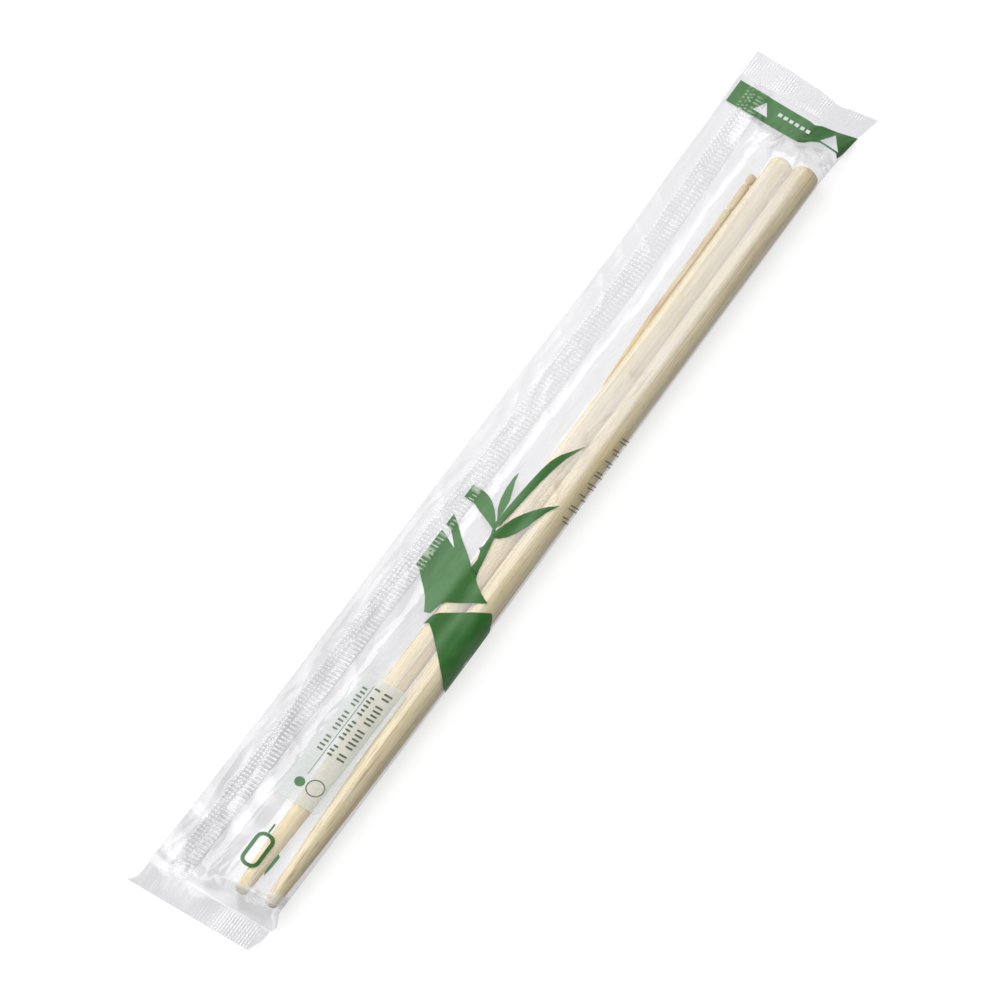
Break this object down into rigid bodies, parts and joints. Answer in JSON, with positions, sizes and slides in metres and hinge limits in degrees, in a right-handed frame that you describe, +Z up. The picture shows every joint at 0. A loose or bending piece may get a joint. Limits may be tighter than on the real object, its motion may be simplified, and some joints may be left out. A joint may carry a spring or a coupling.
{
  "type": "wrapped bamboo chopstick set",
  "caption": "Round bamboo chopsticks and a turned toothpick, loose in a sealed clear film sleeve with crimped ends and a ribbed back seam, lying flat.",
  "frame": {"origin": "middle of the underside of the pack, on the surface it lies on", "axes": "+X across the pack towards the thicker chopstick, +Y along the pack towards the opening end, +Z up"},
  "size_m": [0.0318, 0.241, 0.0065],
  "materials": {
    "bamboo": "sanded, unvarnished",
    "toothpick_bamboo": "turned, unvarnished",
    "clear_film": "clear glossy film, crimped at the seams"
  },
  "bodies": {
    "root": {"chopstick_left": "bamboo", "chopstick_right": "bamboo", "toothpick": "toothpick_bamboo", "film_sleeve": "clear_film"}
  },
  "joints": []
}
